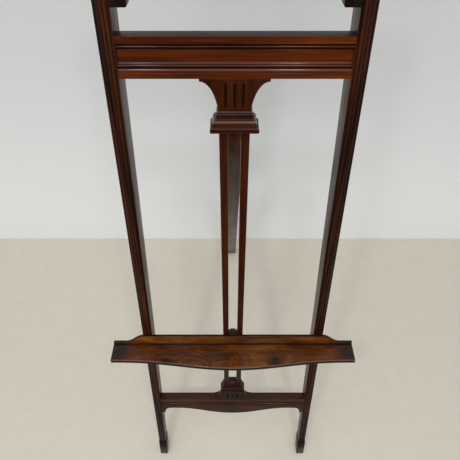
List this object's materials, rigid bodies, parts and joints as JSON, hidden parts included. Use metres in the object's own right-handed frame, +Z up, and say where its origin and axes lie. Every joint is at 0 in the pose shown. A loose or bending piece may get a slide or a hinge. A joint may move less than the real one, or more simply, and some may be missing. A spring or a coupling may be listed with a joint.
{
  "type": "display easel",
  "caption": "Free-standing polished mahogany display easel with a slotted centre splat, a serpentine sliding shelf and a hinged folding rear leg.",
  "frame": {"origin": "middle of the easel's box, on the floor it stands on", "axes": "+Z up; +X across the easel to the right as seen from the front; +Y towards the rear leg, so the front faces -Y"},
  "size_m": [0.534, 0.7532, 1.4428],
  "materials": {
    "dark_mahogany": "french polished, very dark red brown",
    "red_mahogany": "french polished, dark red brown",
    "figured_mahogany": "french polished flame figure, darker at the ends",
    "plain_dowel": "bare beech",
    "sole_felt": "dense black-brown felt",
    "brass": "aged, lightly worn",
    "steel": "dull, slightly oiled"
  },
  "bodies": {
    "front_frame": {"capital": "red_mahogany", "cleat_screw_1": "steel", "cleat_screw_2": "steel", "cornice": "red_mahogany", "crest_rail": "red_mahogany", "fixed_leaf_screw_1": "brass", "fixed_leaf_screw_2": "brass", "fixed_leaf_screw_3": "brass", "fluted_base": "red_mahogany", "hinge_cleat": "dark_mahogany", "hinge_fixed_leaf": "brass", "hinge_pin": "steel", "left_crest_bracket": "dark_mahogany", "left_foot": "dark_mahogany", "left_foot_pad": "sole_felt", "left_lower_dowel": "plain_dowel", "left_upper_dowel": "plain_dowel", "left_upright": "dark_mahogany", "lower_collar": "dark_mahogany", "mid_rail": "red_mahogany", "right_crest_bracket": "dark_mahogany", "right_foot": "dark_mahogany", "right_foot_pad": "sole_felt", "right_lower_dowel": "plain_dowel", "right_upper_dowel": "plain_dowel", "right_upright": "dark_mahogany", "splat_foot_block": "dark_mahogany", "splat_head_block": "red_mahogany", "splat_left_stile": "red_mahogany", "splat_right_stile": "red_mahogany", "stretcher": "red_mahogany", "upper_collar": "red_mahogany"},
    "rear_leg": {"hinge_leg_leaf": "brass", "leg_leaf_screw_1": "brass", "leg_leaf_screw_2": "brass", "leg_leaf_screw_3": "brass", "rear_leg": "dark_mahogany", "rear_leg_pad": "sole_felt"},
    "sliding_shelf": {"clamp_bolt": "brass", "clamp_plate": "dark_mahogany", "clamp_washer": "brass", "shelf_board": "figured_mahogany", "shelf_guide_block": "dark_mahogany", "shelf_screw_1": "steel", "shelf_screw_2": "steel", "shelf_screw_3": "steel", "shelf_screw_4": "steel", "shelf_upstand": "figured_mahogany"},
    "clamp_knob": {"clamp_knob": "brass"}
  },
  "joints": [
    {"name": "rear_leg_fold", "type": "hinge", "parent": "front_frame", "child": "rear_leg", "pos_m": [0, -0.01266, 1.21746], "axis": [1, 0, 0], "range_deg": [-31.2, 0]},
    {"name": "shelf_slide", "type": "slide", "parent": "front_frame", "child": "sliding_shelf", "axis": [0, 0.2588, 0.9659], "range_m": [-0.142, 0.503]},
    {"name": "clamp_knob_turn", "type": "hinge", "parent": "sliding_shelf", "child": "clamp_knob", "pos_m": [0, -0.18288, 0.60463], "axis": [0, 0.9659, -0.2588], "continuous": true}
  ]
}
